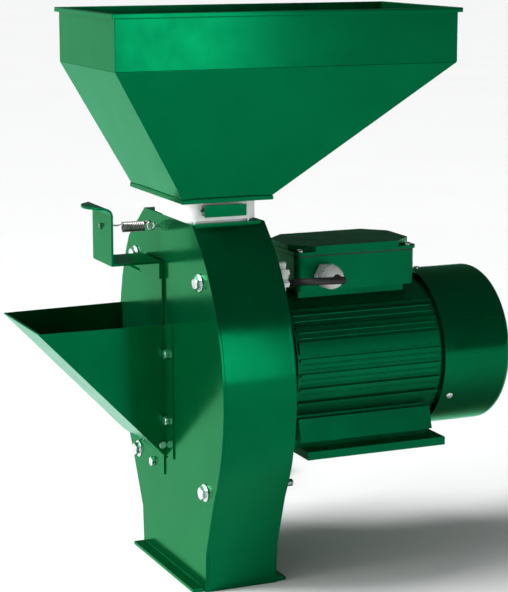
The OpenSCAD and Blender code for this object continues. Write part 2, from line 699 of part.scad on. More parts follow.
// ---- terminal box and gland ----
box_x = [88, 232];
box_y = [-52, 40];
box_z = [pad_z, 342];
box_r = 8;
box_wall = 3;
lid_z = 343.5;
lid_low_z = 347;
lid_top_z = 353;
lid_cut = 23;
gland_x = 122;
gland_z = 321;
module round_box(x, y, z, r) {
    union() {
        block([x[0] + r, y[0], z[0]], [x[1] - r, y[1], z[1]]);
        block([x[0], y[0] + r, z[0]], [x[1], y[1] - r, z[1]]);
        for (px = [x[0] + r, x[1] - r], py = [y[0] + r, y[1] - r]) rod_z(z[0], z[1], px, py, r);
    }
}
module terminal_box() color(mill_green) difference() {
    round_box(box_x, box_y, box_z, box_r);
    difference() {
        round_box([box_x[0] + box_wall, box_x[1] - box_wall], [box_y[0] + box_wall, box_y[1] - box_wall],
                  [box_z[0] + box_wall, box_z[1] + 1], box_r - box_wall);
        for (x = lid_screw_x, y = lid_screw_y) rod_z(box_z[0], box_z[1] + 2, x, y, 5.5);
    }
    for (x = lid_screw_x, y = lid_screw_y) rod_z(box_z[1] - 12, box_z[1] + 1, x, y, 2);
    block([pad_x[0] + 36, -18, box_z[0] - 1], [pad_x[1] - 36, 8, box_z[0] + box_wall + 1]);
    rod_y(box_y[0] - 1, box_y[0] + box_wall + 1, gland_x, gland_z, 8);
}
lid_screw_x = [box_x[0] + 7, box_x[1] - 7];
lid_screw_y = [box_y[0] + 7, box_y[1] - 7];
module lid_gasket() color(black_rubber) difference() {
    round_box(box_x, box_y, [box_z[1], lid_z], box_r);
    round_box([box_x[0] + 4, box_x[1] - 4], [box_y[0] + 4, box_y[1] - 4], [box_z[1] - 1, lid_z + 1], 5);
}
// An octagonal panel: a rectangle with its corners cut by c
function octagon(x, y, c) = [
    [x[0] + c, y[0]], [x[1] - c, y[0]], [x[1], y[0] + c], [x[1], y[1] - c],
    [x[1] - c, y[1]], [x[0] + c, y[1]], [x[0], y[1] - c], [x[0], y[0] + c]
];
module terminal_lid() color(mill_green) difference() {
    union() {
        round_box([box_x[0] - 1.5, box_x[1] + 1.5], [box_y[0] - 1.5, box_y[1] + 1.5],
                  [lid_z, lid_low_z], box_r);
        translate([0, 0, lid_low_z - 0.5]) linear_extrude(lid_top_z - lid_low_z + 0.5)
            polygon(octagon([box_x[0] - 1, box_x[1] + 1], [box_y[0] - 1, box_y[1] + 1], lid_cut));
    }
    for (x = lid_screw_x, y = lid_screw_y) rod_z(lid_z - 1, lid_low_z + 1, x, y, 2.2);
}
module lid_screws() color(zinc) {
    for (x = lid_screw_x, y = lid_screw_y) {
        rod_z(box_z[1] - 11, lid_low_z, x, y, 2);
        rod_z(lid_low_z, lid_low_z + 2.6, x, y, 4);
    }
}
module terminal_board() color([0.25, 0.12, 0.06]) {
    block([150, -8, box_z[0] + box_wall], [200, 28, box_z[0] + box_wall + 8]);
    for (x = [157, 175, 193], y = [2, 18])
        rod_z(box_z[0] + box_wall + 8, box_z[0] + box_wall + 20, x, y, 2);
}
module gland_body() color(white_plastic) difference() {
    union() {
        rod_y(box_y[0] - 3, box_y[0] + 9, gland_x, gland_z, 8);
        translate([gland_x, box_y[0] - 7, gland_z]) rotate([-90, 0, 0]) cylinder(h = 7, r = 14, $fn = 6);
    }
    rod_y(box_y[0] - 9, box_y[0] + 10, gland_x, gland_z, lead_d / 2);
}
// The dome nut is turned: hexagon end first, then a dome round the lead
module gland_nut() color(white_plastic)
    translate([gland_x, box_y[0] - 7, gland_z]) rotate([90, 0, 0])
        rotate_extrude() polygon([
            [lead_d / 2, 0], [13, 0], [13, 12], [12, 17], [9.5, 21], [6, 23], [lead_d / 2, 23]
        ]);

// ---- power lead ----
lead_exit_y = box_y[0] - 30;
// The route's own points, from the gland to the coil
route = [
    [gland_x, lead_exit_y, gland_z], [122, -90, 321.5], [120, -99, 323], [114, -109, 325],
    [104, -116, 326.5], [92, -118, 327.5], [81, -115.5, 327.5], [71.5, -109, 326.5], [65, -99.5, 324.5],
    [62.5, -88, 322], [60, -76, 319], [55.5, -63, 316.5], [50.5, -50, 316], [47, -36, 318.5],
    [47, -18, 323], [47, 0, 324.5], [47, 18, 323], [47, 37, 318], [47, 57, 307.5],
    [47, 75, 292], [48, 91, 270], [49, 102, 243], [50, 108, 212], [51, 111, 178],
    [52, 113, 145], [54, 115, 112], [57, 119, 78], [61, 127, 48], [69, 140, 24],
    [81, 157, 10], [95, 171, 5], [113, 182, 4]
];
coil_at = [120, 236];
coil_mid_r = 46;
coil_low_z = 0;
coil_h = 16;
plug_at = [187, 275, 18];

function unit(v) = v / norm(v);
function tangent(p, i) = unit(p[min(i + 1, len(p) - 1)] - p[max(i - 1, 0)]);
// A ring of n points of radius r round point i of path p, square to the path
function ring_at(p, i, r, n) =
    let (t = tangent(p, i),
         a = unit(cross(t, abs(t[2]) > 0.9 ? [0, 1, 0] : [0, 0, 1])),
         b = cross(t, a))
    [for (k = [0:n - 1]) p[i] + r * cos(360 * k / n) * a + r * sin(360 * k / n) * b];
function spline(a, b, c, d, t) = 0.5 * (2 * b + (c - a) * t + (2 * a - 5 * b + 4 * c - d) * t * t
                                        + (3 * b - a - 3 * c + d) * t * t * t);
function smooth(p, n) = concat(
    [for (i = [0:len(p) - 2], k = [0:n - 1])
        spline(p[max(i - 1, 0)], p[i], p[i + 1], p[min(i + 2, len(p) - 1)], k / n)],
    [p[len(p) - 1]]
);
module tube(path, r, n) {
    rings = [for (i = [0:len(path) - 1]) each ring_at(path, i, r, n)];
    last = len(path) - 1;
    polyhedron(
        points = rings,
        faces = concat(
            [[for (k = [0:n - 1]) k]],
            [for (i = [0:last - 1], k = [0:n - 1])
                [i * n + k, (i + 1) * n + k, (i + 1) * n + (k + 1) % n, i * n + (k + 1) % n]],
            [[for (k = [n - 1:-1:0]) last * n + k]]
        )
    );
}
module power_lead() color(black_rubber) tube(smooth(route, 2), lead_d / 2, 8);
module lead_coil() color(black_rubber)
    translate([coil_at[0], coil_at[1], coil_low_z]) rotate_extrude()
        translate([coil_mid_r - lead_d, 0]) square([2 * lead_d, coil_h]);
plug_r = 18;
plug_l = 34;
plug_pin_r = 2.4;
plug_turn = 66;
relief_l = 34;
module lead_plug() color(black_rubber) {
    translate(plug_at) rotate([0, 90, plug_turn]) cylinder(h = plug_l, r = plug_r);
    for (s = [-9.5, 9.5])
        translate(plug_at) rotate([0, 90, plug_turn]) translate([0, s, plug_l])
            cylinder(h = 19, r = plug_pin_r);
}
module plug_relief() color(black_rubber)
    translate(plug_at) rotate([0, -90, plug_turn]) cylinder(h = relief_l, r1 = 9, r2 = lead_d / 2 + 1);

// ---- mill rotor ----
disc_r = 66;
disc_t = 4;
disc_x = [-22, 18];
hub_r = 21;
// The hammer pins' angles round the shaft, from +Y
pin_angles = [135, 225, 45, 315];
module rotor_hub() color(steel) difference() {
    rod_x(disc_x[0] + disc_t, disc_x[1], 0, axis_z, hub_r);
    rod_x(disc_x[0], disc_x[1] + disc_t, 0, axis_z, shaft_r - 0.5);
    block([disc_x[0], -key_w / 2, axis_z + shaft_r - 4],
          [disc_x[1] + disc_t, key_w / 2, axis_z + shaft_r + 2.4]);
}
module rotor_discs() color(steel) {
    for (x = disc_x) difference() {
        rod_x(x, x + disc_t, 0, axis_z, disc_r);
        rod_x(x - 1, x + disc_t + 1, 0, axis_z, shaft_r - 0.5);
        block([x - 1, -key_w / 2, axis_z], [x + disc_t + 1, key_w / 2, axis_z + shaft_r + 2.4]);
        for (a = pin_angles)
            rod_x(x - 1, x + disc_t + 1, pin_circle_r * cos(a), axis_z + pin_circle_r * sin(a), hammer_pin_r);
    }
}
module hammer_pins() color(zinc) {
    for (a = pin_angles) {
        y = pin_circle_r * cos(a);
        z = axis_z + pin_circle_r * sin(a);
        rod_x(disc_x[0], disc_x[1] + disc_t, y, z, hammer_pin_r);
        rod_x(disc_x[0] - 2.5, disc_x[0], y, z, hammer_pin_r + 2.5);
        rod_x(disc_x[1] + disc_t, disc_x[1] + disc_t + 2.5, y, z, hammer_pin_r + 2.5);
    }
}
module hub_bolt() color(zinc) {
    rod_x(shaft_end_x[0] - 3, shaft_end_x[0], 0, axis_z, 15);
    hex_x(shaft_end_x[0] - 8.5, shaft_end_x[0] - 3, 0, axis_z, 8);
    rod_x(shaft_end_x[0], shaft_end_x[0] + 21, 0, axis_z, 3.9);
}
hammers_per_pin = 4;
hammer_step = 9;
// One set of hammers, hanging straight down from the pin at angle a
module hammer_set(a) color(steel) {
    y = pin_circle_r * cos(a);
    z = axis_z + pin_circle_r * sin(a);
    for (i = [0:hammers_per_pin - 1]) {
        x = -15.5 + i * hammer_step;
        difference() {
            union() {
                rod_x(x, x + hammer_t, y, z, hammer_w / 2);
                block([x, y - hammer_w / 2, z - hammer_l], [x + hammer_t, y + hammer_w / 2, z]);
            }
            rod_x(x - 1, x + hammer_t + 1, y, z, hammer_pin_r + 0.08);
        }
    }
    // sleeves join the hammers of a set
    for (i = [0:hammers_per_pin - 2])
        difference() {
            rod_x(-15.5 + i * hammer_step + hammer_t, -15.5 + (i + 1) * hammer_step, y, z, hammer_pin_r + 3);
            rod_x(-30, 30, y, z, hammer_pin_r + 0.08);
        }
}
module hammers_upper_near() hammer_set(pin_angles[0]);
module hammers_lower_near() hammer_set(pin_angles[1]);
module hammers_upper_far() hammer_set(pin_angles[2]);
module hammers_lower_far() hammer_set(pin_angles[3]);

casing_band();
rear_plate();
front_cover();
top_plate();
base_flanges();
cover_bolts();
cover_washers();
cover_nuts();
star_nut();
sieve();
sieve_rails();
chute();
chute_bolts();
feed_flap();
flap_lever();
flap_pin();
spring_eye();
lever_spring();
gate_frame();
slide_plate();
gate_bolts();
hopper_cone();
hopper_band();
hopper_flange();
motor_frame();
motor_foot();
front_shield();
rear_shield();
flange_bolts();
stator_core();
stator_windings();
rotor_core();
motor_shaft();
shaft_key();
front_bearing();
rear_bearing();
cooling_fan();
fan_cover();
fan_cover_screws();
terminal_box();
terminal_lid();
lid_gasket();
lid_screws();
terminal_board();
gland_body();
gland_nut();
power_lead();
lead_coil();
lead_plug();
plug_relief();
rotor_hub();
rotor_discs();
hammer_pins();
hub_bolt();
hammers_upper_near();
hammers_lower_near();
hammers_upper_far();
hammers_lower_far();
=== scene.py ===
"""The looks of a hammer mill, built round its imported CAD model. Lengths are in metres."""
import json
import math
import random

import bpy
from mathutils import Matrix, Vector


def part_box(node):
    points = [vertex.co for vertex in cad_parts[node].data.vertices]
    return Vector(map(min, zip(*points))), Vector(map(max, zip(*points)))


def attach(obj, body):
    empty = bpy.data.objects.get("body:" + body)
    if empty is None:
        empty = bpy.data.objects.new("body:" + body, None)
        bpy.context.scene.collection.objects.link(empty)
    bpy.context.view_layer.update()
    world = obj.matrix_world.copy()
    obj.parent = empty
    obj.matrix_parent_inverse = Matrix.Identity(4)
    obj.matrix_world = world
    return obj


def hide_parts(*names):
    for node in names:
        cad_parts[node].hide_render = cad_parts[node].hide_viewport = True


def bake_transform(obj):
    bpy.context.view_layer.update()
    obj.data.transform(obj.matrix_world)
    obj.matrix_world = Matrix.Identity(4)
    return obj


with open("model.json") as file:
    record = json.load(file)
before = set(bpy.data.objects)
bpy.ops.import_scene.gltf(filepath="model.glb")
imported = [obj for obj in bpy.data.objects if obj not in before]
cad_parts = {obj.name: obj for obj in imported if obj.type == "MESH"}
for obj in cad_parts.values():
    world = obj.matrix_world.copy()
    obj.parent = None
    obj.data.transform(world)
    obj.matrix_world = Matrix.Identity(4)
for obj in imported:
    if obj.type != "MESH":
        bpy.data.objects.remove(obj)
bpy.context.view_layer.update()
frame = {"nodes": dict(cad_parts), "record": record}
nodes = frame["nodes"]
slot_of = {s["node"]: s["material_slot"] for s in frame["record"]["subparts"]}
MM = 0.001
TURN = 2 * math.pi


# ---- camera ----
CAMERA_AT = Vector((-0.776, -1.9233, 0.6933))
CAMERA_AZIMUTH = math.radians(-23.5)
CAMERA_ELEVATION = math.radians(10.8)
CAMERA_LENS = 118.3


def make_camera():
    data = bpy.data.cameras.new("camera")
    data.sensor_width = 36
    data.lens = CAMERA_LENS
    camera = bpy.data.objects.new("camera", data)
    bpy.context.scene.collection.objects.link(camera)
    level = math.cos(CAMERA_ELEVATION)
    back = Vector((math.sin(CAMERA_AZIMUTH) * level, -math.cos(CAMERA_AZIMUTH) * level,
                   math.sin(CAMERA_ELEVATION)))
    camera.rotation_mode = "QUATERNION"
    camera.rotation_quaternion = (-back).to_track_quat("-Z", "Y")
    camera.location = CAMERA_AT
    bpy.context.scene.camera = camera


# ---- materials ----
def node(tree, kind, **sockets):
    made = tree.nodes.new(kind)
    for name, value in sockets.items():
        made.inputs[name.replace("_", " ")].default_value = value
    return made


def noise(tree, place, scale, detail=3.0):
    made = node(tree, "ShaderNodeTexNoise", Scale=scale, Detail=detail)
    tree.links.new(place.outputs["Object"], made.inputs["Vector"])
    return made


def spread(tree, value, low, high, from_low=0.3, from_high=0.7):
    """value, from from_low to from_high, spread over low to high."""
    made = node(tree, "ShaderNodeMapRange", From_Min=from_low, From_Max=from_high, To_Min=low, To_Max=high)
    tree.links.new(value, made.inputs["Value"])
    return made.outputs["Result"]


def mixed(tree, factor, first, second):
    made = tree.nodes.new("ShaderNodeMix")
    made.data_type = "RGBA"
    tree.links.new(factor, made.inputs["Factor"])
    for socket, colour in ((made.inputs[6], first), (made.inputs[7], second)):
        if isinstance(colour, bpy.types.NodeSocket):
            tree.links.new(colour, socket)
        else:
            socket.default_value = (*colour, 1)
    return made.outputs[2]


def edge_mask(tree, radius):
    """1 on outer and inner edges, 0 on flats: where a rounded normal leaves the true one."""
    rounded = tree.nodes.new("ShaderNodeBevel")
    rounded.samples = 4
    rounded.inputs["Radius"].default_value = radius
    geometry = tree.nodes.new("ShaderNodeNewGeometry")
    dot = tree.nodes.new("ShaderNodeVectorMath")
    dot.operation = "DOT_PRODUCT"
    tree.links.new(rounded.outputs["Normal"], dot.inputs[0])
    tree.links.new(geometry.outputs["Normal"], dot.inputs[1])
    return spread(tree, dot.outputs["Value"], 1.0, 0.0, 0.72, 0.95)


EDGE_WIDTH = 0.0007
SCUFF_SCALE, SMEAR_SCALE = 90.0, 38.0


def material(name, colour, rough, metallic=0.0, vary=0.12, patch=14.0, grain=1400.0, bump=0.04,
             bump_depth=0.0002, wear=None, wear_amount=0.5, along=None, **fixed):
    """A principled material with colour patches, uneven roughness, a fine bump and worn edges.

    Where along is given, the fine bump is stretched by it, so that it runs in lines."""
    made = bpy.data.materials.new(name)
    made.use_nodes = True
    made.diffuse_color = (*colour, 1)
    tree = made.node_tree
    shader = tree.nodes["Principled BSDF"]
    place = tree.nodes.new("ShaderNodeTexCoord")
    patches = noise(tree, place, patch)
    darker = [c * (1 - vary) for c in colour]
    lighter = [min(1, c * (1 + vary)) for c in colour]
    base = mixed(tree, spread(tree, patches.outputs["Fac"], 0, 1), darker, lighter)
    if wear:
        rubbed = tree.nodes.new("ShaderNodeMath")
        rubbed.operation = "MULTIPLY"
        tree.links.new(edge_mask(tree, EDGE_WIDTH), rubbed.inputs[0])
        scuffs = noise(tree, place, SCUFF_SCALE, 5.0)
        tree.links.new(spread(tree, scuffs.outputs["Fac"], 0.0, wear_amount, 0.42, 0.62), rubbed.inputs[1])
        base = mixed(tree, rubbed.outputs["Value"], base, wear)
    tree.links.new(base, shader.inputs["Base Color"])
    smears = noise(tree, place, SMEAR_SCALE, 6.0)
    tree.links.new(spread(tree, smears.outputs["Fac"], rough * 0.85, rough * 1.2), shader.inputs["Roughness"])
    fine = noise(tree, place, grain, 2.0)
    if along:
        stretch = node(tree, "ShaderNodeMapping", Scale=along)
        tree.links.new(place.outputs["Object"], stretch.inputs["Vector"])
        tree.links.new(stretch.outputs["Vector"], fine.inputs["Vector"])
    lumps = node(tree, "ShaderNodeBump", Strength=bump, Distance=bump_depth)
    tree.links.new(fine.outputs["Fac"], lumps.inputs["Height"])
    tree.links.new(lumps.outputs["Normal"], shader.inputs["Normal"])
    shader.inputs["Metallic"].default_value = metallic
    for socket, value in fixed.items():
        shader.inputs[socket.replace("_", " ")].default_value = value
    return made


def brushed(name, colour, rough, along=(1, 1, 1), **more):
    """A metal whose bump runs in fine lines: the grain is stretched along one axis."""
    return material(name, colour, rough, metallic=1.0, along=along, **more)


PAINT = (0.0, 0.105, 0.033)
PAINT_WORN = (0.0, 0.26, 0.12)
PAINT_GLOSS = (0.02, 1.0, 0.58, 1)


def make_materials():
    steel = (0.40, 0.41, 0.43)
    return {
        "sheet_green": material("sheet_green", PAINT, 0.17, metallic=0.70, vary=0.07, grain=650.0, bump=0.04,
                                wear=PAINT_WORN, wear_amount=0.6, Specular_Tint=PAINT_GLOSS),
        "cast_green": material("cast_green", PAINT, 0.33, metallic=0.55, vary=0.12, grain=900.0, bump=0.30,
                               bump_depth=0.0004, wear=PAINT_WORN, wear_amount=0.7,
                               Specular_Tint=PAINT_GLOSS),
        "white_plastic": material("white_plastic", (0.80, 0.81, 0.80), 0.38, vary=0.04, grain=1200.0,
                                  bump=0.06, wear=(0.62, 0.62, 0.60), Subsurface_Weight=0.05),
        "zinc": brushed("zinc", (0.74, 0.75, 0.78), 0.24, (1, 0.2, 1), vary=0.10, bump=0.10,
                        wear=(0.92, 0.92, 0.93)),
        "tool_steel": brushed("tool_steel", steel, 0.38, (0.15, 1, 1), vary=0.22, bump=0.25,
                              wear=(0.75, 0.75, 0.76)),
        "spring_steel": brushed("spring_steel", (0.34, 0.31, 0.31), 0.28, vary=0.25, bump=0.10,
                                wear=(0.62, 0.60, 0.60)),
        "bearing_steel": brushed("bearing_steel", (0.76, 0.76, 0.78), 0.12, vary=0.05, bump=0.04,
                                 wear=(0.90, 0.90, 0.90)),
        "stator_iron": brushed("stator_iron", (0.30, 0.30, 0.32), 0.48, (6, 0.2, 0.2), vary=0.18, bump=0.45,
                               wear=(0.55, 0.55, 0.56)),
        "copper": brushed("copper", (0.66, 0.27, 0.11), 0.30, (0.2, 1, 1), vary=0.18, bump=0.6,
                          wear=(0.86, 0.48, 0.28)),
        "black_plastic": material("black_plastic", (0.018, 0.018, 0.019), 0.45, vary=0.25, bump=0.12,
                                  wear=(0.08, 0.08, 0.08)),
        "black_rubber": material("black_rubber", (0.006, 0.006, 0.007), 0.55, vary=0.3, grain=2000.0,
                                 bump=0.10, wear=(0.05, 0.05, 0.05)),
        "board": material("board", (0.17, 0.07, 0.03), 0.40, vary=0.25, patch=60.0, bump=0.10,
                          wear=(0.36, 0.20, 0.11)),
    }


# ---- the CAD nodes' finish ----
# Angles between faces: over SHARP they meet in a crisp edge, under FLAT they are one flat face, and over
# ROUNDED_OVER their edge is rounded. Points nearer than LOOSE_WITHIN are joined
SHARP = math.radians(32)
FLAT = math.radians(0.4)
ROUNDED_OVER = math.radians(40)
LOOSE_WITHIN = 0.00002


def smoothing_group():
    """Joins the loose edges of an imported mesh, and drops its stored normals."""
    group = bpy.data.node_groups.new("join_faces", "GeometryNodeTree")
    group.interface.new_socket("Geometry", in_out="INPUT", socket_type="NodeSocketGeometry")
    group.interface.new_socket("Geometry", in_out="OUTPUT", socket_type="NodeSocketGeometry")
    start = group.nodes.new("NodeGroupInput")
    end = group.nodes.new("NodeGroupOutput")
    plain = group.nodes.new("GeometryNodeRemoveAttribute")
    plain.inputs["Name"].default_value = "custom_normal"
    merge = group.nodes.new("GeometryNodeMergeByDistance")
    merge.inputs["Distance"].default_value = LOOSE_WITHIN
    group.links.new(start.outputs[0], plain.inputs["Geometry"])
    group.links.new(plain.outputs[0], merge.inputs["Geometry"])
    group.links.new(merge.outputs[0], end.inputs[0])
    return group


def shading_group():
    """Smooth faces, with the edges sharper than SHARP kept crisp."""
    group = bpy.data.node_groups.new("shade_by_angle", "GeometryNodeTree")
    group.interface.new_socket("Geometry", in_out="INPUT", socket_type="NodeSocketGeometry")
    group.interface.new_socket("Geometry", in_out="OUTPUT", socket_type="NodeSocketGeometry")
    start = group.nodes.new("NodeGroupInput")
    end = group.nodes.new("NodeGroupOutput")
    faces = group.nodes.new("GeometryNodeSetShadeSmooth")
    edges = group.nodes.new("GeometryNodeSetShadeSmooth")
    edges.domain = "EDGE"
    edges.inputs["Shade Smooth"].default_value = False
    angle = group.nodes.new("GeometryNodeInputMeshEdgeAngle")
    over = group.nodes.new("FunctionNodeCompare")
    over.operation = "GREATER_THAN"
    over.inputs["B"].default_value = SHARP
    group.links.new(angle.outputs["Unsigned Angle"], over.inputs["A"])
    group.links.new(start.outputs[0], faces.inputs["Geometry"])
    group.links.new(faces.outputs[0], edges.inputs["Geometry"])
    group.links.new(over.outputs[0], edges.inputs["Selection"])
    group.links.new(edges.outputs[0], end.inputs[0])
    return group


def round_edges(obj, width, segments=2, join=None, shade=None):
    """Joins an imported mesh's faces, rounds its edges by width and shades it, all by modifiers."""
    if join:
        joined = obj.modifiers.new("join", "NODES")
        joined.node_group = join
        # flat faces become whole again, so that a rounded edge doesn't shade the slivers beside it
        flat = obj.modifiers.new("flat", "DECIMATE")
        flat.decimate_type = "DISSOLVE"
        flat.angle_limit = FLAT
    if width:
        bevel = obj.modifiers.new("bevel", "BEVEL")
        bevel.width = width
        bevel.segments = segments
        bevel.limit_method = "ANGLE"
        bevel.angle_limit = ROUNDED_OVER
    shaded = obj.modifiers.new("shade", "NODES")
    shaded.node_group = shade
    if width:
        # large faces keep their own normal, so that flats stay flat up to their rounded edges
        weighted = obj.modifiers.new("weighted", "WEIGHTED_NORMAL")
        weighted.keep_sharp = True


# How far each node's edges are rounded; the rest take EDGE
EDGE = 0.0004
EDGES = {
    "front_cover": 0.0009, "rear_plate": 0.0009, "casing_band": 0.0005, "top_plate": 0.0006,
    "base_flanges": 0.0008, "hopper_cone": 0.0005, "hopper_band": 0.0006, "hopper_flange": 0.0010,
    "chute": 0.0005, "feed_flap": 0.0006, "flap_lever": 0.0007, "slide_plate": 0.0006,
    "gate_frame": 0.0016, "star_nut": 0.0009, "motor_frame": 0.0009, "motor_foot": 0.0016,
    "front_shield": 0.0015, "rear_shield": 0.0012, "terminal_box": 0.0012, "terminal_lid": 0.0014,
    "fan_cover": 0.0004, "sieve": 0.0, "lid_gasket": 0.0, "lever_spring": 0.0, "power_lead": 0.0,
}


# Nodes whose edges are rounded in three steps rather than two
ROUNDEST = ("gate_frame", "star_nut")


def finish_nodes(finishes):
    join, shade = smoothing_group(), shading_group()
    for name, obj in nodes.items():
        obj.data.materials.clear()
        obj.data.materials.append(finishes[slot_of[name]])
        segments = 3 if name in ROUNDEST else 2
        round_edges(obj, EDGES.get(name, EDGE), segments, join, shade)
    return shade


# ---- mesh building ----
def piece(name, parts, finish, body, replaced=(), shade=None):
    """One object of several (points, faces) parts, riding on a body."""
    points, faces = [], []
    for part_points, part_faces in parts:
        first = len(points)
        points += [tuple(p) for p in part_points]
        faces += [[first + i for i in face] for face in part_faces]
    mesh = bpy.data.meshes.new(name)
    mesh.from_pydata(points, [], faces)
    mesh.validate()
    mesh.materials.append(MATERIALS[finish])
    obj = bpy.data.objects.new(name, mesh)
    bpy.context.scene.collection.objects.link(obj)
    if shade:
        round_edges(obj, 0, shade=shade)
    if replaced:
        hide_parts(*replaced)
    if body:
        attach(obj, body)
    return obj


def place_along(at, axis):
    """Turns +Z to axis and moves the origin to at."""
    return Matrix.Translation(at) @ Vector(axis).to_track_quat("Z", "Y").to_matrix().to_4x4()


def moved(part, matrix):
    return [matrix @ Vector(p) for p in part[0]], part[1]


def skin(rings, closed_ends=True, looped=False):
    """A surface over rings of equally many points, in order."""
    count = len(rings[0])
    points = [p for ring in rings for p in ring]
    faces = []
    spans = len(rings) if looped else len(rings) - 1
    for i in range(spans):
        low, high = i * count, (i + 1) % len(rings) * count
        for k in range(count):
            nxt = (k + 1) % count
            faces.append([low + k, low + nxt, high + nxt, high + k])
    if closed_ends and not looped:
        faces.append(list(range(count - 1, -1, -1)))
        faces.append(list(range(len(points) - count, len(points))))
    return points, faces


def ring(radius, z, count=36):
    """A ring round Z: radius is a number, or a function of the angle."""
    made = []
    for k in range(count):
        a = TURN * k / count
        r = radius(a) if callable(radius) else radius
        made.append((r * math.cos(a), r * math.sin(a), z(a) if callable(z) else z))
    return made


def hexagon(corner):
    flat = corner * math.cos(math.pi / 6)
    return lambda a: flat / math.cos((a + math.pi / 6) % (math.pi / 3) - math.pi / 6)


CHAMFER = math.tan(math.radians(30))
# The flat face inside a bolt's or a nut's chamfer, as a part of the distance to its flats
FACE = 0.93


def thread_rings(radius, length, pitch):
    """Rings down -Z from 0, grooved like a thread and chamfered at the tip."""
    steps = max(2, int(length / (pitch / 2)))
    made = [ring(radius if i % 2 else radius - 0.5 * pitch, -length * i / steps) for i in range(1, steps)]
    return made + [ring(radius - pitch, -length)]


def hex_bolt(corner, head, shank, length, thread=0.012, pitch=0.00125):
    """Chamfered head up from z = 0, and a shank below it whose last stretch is threaded."""
    rho = hexagon(corner)
    flat = corner * math.cos(math.pi / 6)
    thread = min(thread, length)
    grooves = [[(x, y, z - (length - thread)) for x, y, z in r] for r in thread_rings(shank, thread, pitch)]
    rings = [
        ring(flat * 0.45, head - flat * 0.06), ring(flat * 0.80, head - flat * 0.03),
        ring(flat * FACE, head), ring(rho, lambda a: head - CHAMFER * (rho(a) - flat * FACE)),
        ring(rho, 0.0003), ring(flat * 0.97, 0), ring(shank, 0), ring(shank, -(length - thread) - 1e-5),
    ]
    return skin((rings + grooves)[::-1])


def hex_nut(corner, thick, bore):
    rho = hexagon(corner)
    flat = corner * math.cos(math.pi / 6)

    def slope(a):
        return CHAMFER * (rho(a) - flat * FACE)

    return skin([
        ring(bore, 0.0004), ring(bore + 0.0006, 0), ring(flat * FACE, 0), ring(rho, slope),
        ring(rho, lambda a: thick - slope(a)), ring(flat * FACE, thick), ring(bore + 0.0006, thick),
        ring(bore, thick - 0.0004),
    ], looped=True)


def cross_screw(radius, head, shank, length):
    """A pan head with a cross pressed into it, and its shank below z = 0."""
    half, arm, deep, count, rows = radius * 0.14, radius * 0.58, head * 0.55, 64, 10
    rings = [ring(shank, -length, count), ring(shank, 0, count), ring(radius, 0, count)]
    for i in range(rows):
        t = i / rows
        r = radius * math.cos(t * math.pi / 2) ** 0.75
        z = head * (0.25 + 0.75 * math.sin(t * math.pi / 2))
        row = []
        for x, y, _ in ring(r, 0, count):
            inside = min(abs(x), abs(y)) < half and max(abs(x), abs(y)) < arm
            row.append((x, y, z - (deep if inside else 0)))
        rings.append(row)
    rings.append([(x, y, head - deep) for x, y, _ in ring(radius * 0.04, 0, count)])
    return skin(rings)


def tube(path, radius, count=10):
    """A closed tube along path: radius is a number, or one number a point."""
    path = [Vector(p) for p in path]
    radii = radius if isinstance(radius, list) else [radius] * len(path)
    rings, side = [], None
    for i, p in enumerate(path):
        along = (path[min(i + 1, len(path) - 1)] - path[max(i - 1, 0)]).normalized()
        if side is None:
            side = along.orthogonal().normalized()
        side = (side - along * side.dot(along)).normalized()
        other = along.cross(side)
        rings.append([p + radii[i] * (math.cos(TURN * k / count) * side + math.sin(TURN * k / count) * other)
                      for k in range(count)])
    return skin(rings)


def weld_bead(start, end, radius, seed, pitch=0.0032):
    """A hand-laid bead from start to end, in overlapping ripples."""
    rng = random.Random(seed)
    start, end = Vector(start), Vector(end)
    length = (end - start).length
    count = max(6, int(length / (pitch / 5)))
    path, radii = [], []
    for i in range(count + 1):
        s = length * i / count
        ripple = abs(math.sin(math.pi * s / pitch))
        taper = min(1.0, 4 * i / count + 0.3, 4 * (count - i) / count + 0.3)
        sway = Vector([rng.uniform(-1, 1) * radius * 0.06 for _ in range(3)])
        path.append(start.lerp(end, i / count) + sway)
        radii.append(radius * taper * (0.80 + 0.24 * ripple + rng.uniform(-0.03, 0.03)))
    return tube(path, radii, 8)


def curved(points, steps):
    """A smooth path through points, with steps stretches between each two."""
    points = [Vector(p) for p in points]
    made = []
    for i in range(len(points) - 1):
        a, b, c, d = points[max(i - 1, 0)], points[i], points[i + 1], points[min(i + 2, len(points) - 1)]
        for k in range(steps):
            t = k / steps
            made.append(0.5 * (2 * b + (c - a) * t + (2 * a - 5 * b + 4 * c - d) * t * t
                               + (3 * b - a - 3 * c + d) * t ** 3))
    return made + [points[-1]]


# ---- the power lead ----
LEAD_D = 0.008
# The lead's route from the gland to the coil, in millimetres, as in the CAD model
ROUTE = [
    (122, -82, 321), (122, -90, 321.5), (120, -99, 323), (114, -109, 325),
    (104, -116, 326.5), (92, -118, 327.5), (81, -115.5, 327.5), (71.5, -109, 326.5), (65, -99.5, 324.5),
    (62.5, -88, 322), (60, -76, 319), (55.5, -63, 316.5), (50.5, -50, 316), (47, -36, 318.5),
    (47, -18, 323), (47, 0, 324.5), (47, 18, 323), (47, 37, 318), (47, 57, 307.5),
    (47, 75, 292), (48, 91, 270), (49, 102, 243), (50, 108, 212), (51, 111, 178),
    (52, 113, 145), (54, 115, 112), (57, 119, 78), (61, 127, 48), (69, 140, 24),
    (81, 157, 10), (95, 171, 5), (113, 182, 4),
]
COIL_AT = Vector((0.120, 0.236))
COIL_FIRST, COIL_LAST = 262.6, 1448.4
COIL_STEPS = 120
